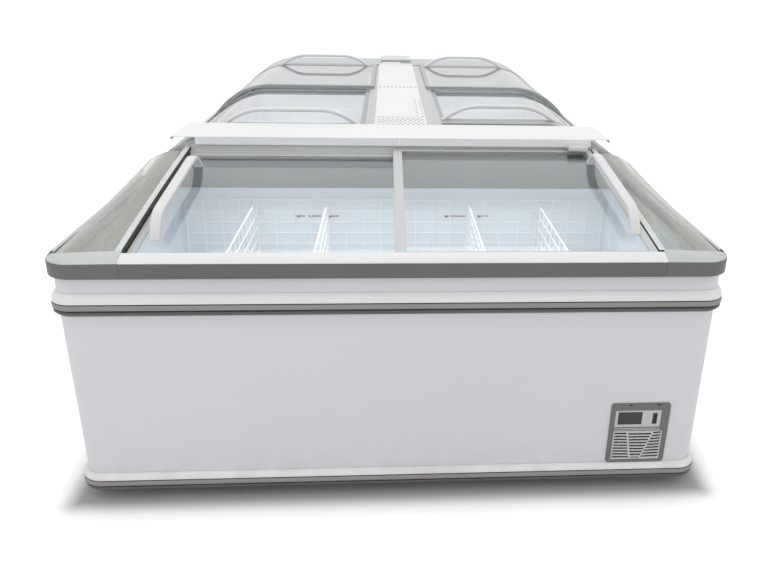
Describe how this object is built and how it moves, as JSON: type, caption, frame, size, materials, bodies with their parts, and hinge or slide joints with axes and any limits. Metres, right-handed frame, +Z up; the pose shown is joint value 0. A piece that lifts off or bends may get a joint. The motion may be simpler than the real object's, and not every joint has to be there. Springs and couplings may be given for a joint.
{
  "type": "island chest freezer",
  "caption": "White supermarket chest freezer island: an end cabinet across the front and long cabinets behind it, under sliding curved glass lids with bow handles.",
  "frame": {"origin": "on the floor, under the middle of the footprint", "axes": "+X to the right seen from the front, +Y away from the front edge along the island, +Z up"},
  "size_m": [1.85, 3.35, 0.9633],
  "materials": {
    "casing_paint": "smooth white powder coat",
    "liner_paint": "smooth white enamel",
    "foam": "rigid foam",
    "bumper_plastic": "satin white",
    "insert_plastic": "satin grey",
    "rail_grey": "satin dark grey",
    "moulding_grey": "satin grey",
    "strip_white": "satin white",
    "frame_grey": "satin light grey",
    "header_grey": "satin grey",
    "brush": "black brush",
    "lid_frame": "satin light grey",
    "lid_glass": "clear toughened glass",
    "side_glass": "green-grey tinted glass",
    "handle_white": "gloss white",
    "cover_white": "smooth white powder coat",
    "rail_light": "satin light grey",
    "wire_white": "white dipped wire",
    "bezel_grey": "fine textured grey",
    "fascia_silver": "brushed silver",
    "display_black": "black window",
    "switch_black": "black rocker",
    "grille_grey": "satin grey",
    "steel": "zinc plated",
    "compressor_black": "black enamel",
    "fin_metal": "plain",
    "fan_plastic": "black",
    "motor_metal": "grey"
  },
  "bodies": {
    "cabinet": {"bumper_inserts": "insert_plastic", "compressors": "compressor_black", "condensers": "fin_metal", "control_bezel": "bezel_grey", "control_fascia": "fascia_silver", "display_window": "display_black", "end_base_bumper": "bumper_plastic", "end_casing": "casing_paint", "end_insulation": "foam", "end_liner": "liner_paint", "end_mid_bumper": "bumper_plastic", "end_wire_dividers": "wire_white", "end_wire_grids": "wire_white", "evaporator_coils": "fin_metal", "fan_motors": "motor_metal", "front_rail": "rail_grey", "front_track_strip": "strip_white", "head_cover": "cover_white", "left_corner_moulding": "moulding_grey", "left_long_casing": "casing_paint", "left_long_liner": "liner_paint", "levelling_feet": "steel", "lid_lock": "frame_grey", "long_bumpers": "bumper_plastic", "long_end_frames": "rail_light", "long_inner_rails": "rail_light", "long_wire_dividers": "wire_white", "louvre_grille": "grille_grey", "perforated_strips": "cover_white", "rear_track_header": "header_grey", "right_corner_moulding": "moulding_grey", "right_long_casing": "casing_paint", "right_long_liner": "liner_paint", "side_frames": "frame_grey", "side_glasses": "side_glass", "side_rails": "rail_grey", "side_seals": "brush", "strip_end_cap": "frame_grey"},
    "rocker": {"rocker_switch": "switch_black"},
    "end_fan": {"end_fan": "fan_plastic"},
    "left_fan": {"left_fan": "fan_plastic"},
    "right_fan": {"right_fan": "fan_plastic"},
    "left_lid": {"left_lid_frame": "lid_frame", "left_lid_glass": "lid_glass", "left_lid_handle": "handle_white"},
    "right_lid": {"right_lid_frame": "lid_frame", "right_lid_glass": "lid_glass", "right_lid_handle": "handle_white"},
    "left_near_lid": {"left_near_lid_frame": "lid_frame", "left_near_lid_glass": "lid_glass", "left_near_lid_handle": "handle_white"},
    "left_far_lid": {"left_far_lid_frame": "lid_frame", "left_far_lid_glass": "lid_glass", "left_far_lid_handle": "handle_white"},
    "right_near_lid": {"right_near_lid_frame": "lid_frame", "right_near_lid_glass": "lid_glass", "right_near_lid_handle": "handle_white"},
    "right_far_lid": {"right_far_lid_frame": "lid_frame", "right_far_lid_glass": "lid_glass", "right_far_lid_handle": "handle_white"}
  },
  "joints": [
    {"name": "left_lid_slide", "type": "slide", "parent": "cabinet", "child": "left_lid", "axis": [1, 0, 0], "range_m": [0, 0.62]},
    {"name": "right_lid_slide", "type": "slide", "parent": "cabinet", "child": "right_lid", "axis": [1, 0, 0], "range_m": [-0.62, 0]},
    {"name": "left_near_lid_slide", "type": "slide", "parent": "cabinet", "child": "left_near_lid", "axis": [0, 1, 0], "range_m": [0, 0.85]},
    {"name": "left_far_lid_slide", "type": "slide", "parent": "cabinet", "child": "left_far_lid", "axis": [0, 1, 0], "range_m": [-0.85, 0]},
    {"name": "right_near_lid_slide", "type": "slide", "parent": "cabinet", "child": "right_near_lid", "axis": [0, 1, 0], "range_m": [-0.12, 0.73]},
    {"name": "right_far_lid_slide", "type": "slide", "parent": "cabinet", "child": "right_far_lid", "axis": [0, 1, 0], "range_m": [-0.73, 0]},
    {"name": "rocker_tilt", "type": "hinge", "parent": "cabinet", "child": "rocker", "pos_m": [0.767, -1.652, 0.2425], "axis": [1, 0, 0], "range_deg": [-8, 8]},
    {"name": "end_fan_spin", "type": "hinge", "parent": "cabinet", "child": "end_fan", "pos_m": [0.725, -1.509, 0.1433], "axis": [0, 1, 0], "continuous": true},
    {"name": "left_fan_spin", "type": "hinge", "parent": "cabinet", "child": "left_fan", "pos_m": [-0.284, -0.7075, 0.1433], "axis": [1, 0, 0], "continuous": true},
    {"name": "right_fan_spin", "type": "hinge", "parent": "cabinet", "child": "right_fan", "pos_m": [0.284, -0.7075, 0.1433], "axis": [1, 0, 0], "continuous": true}
  ]
}
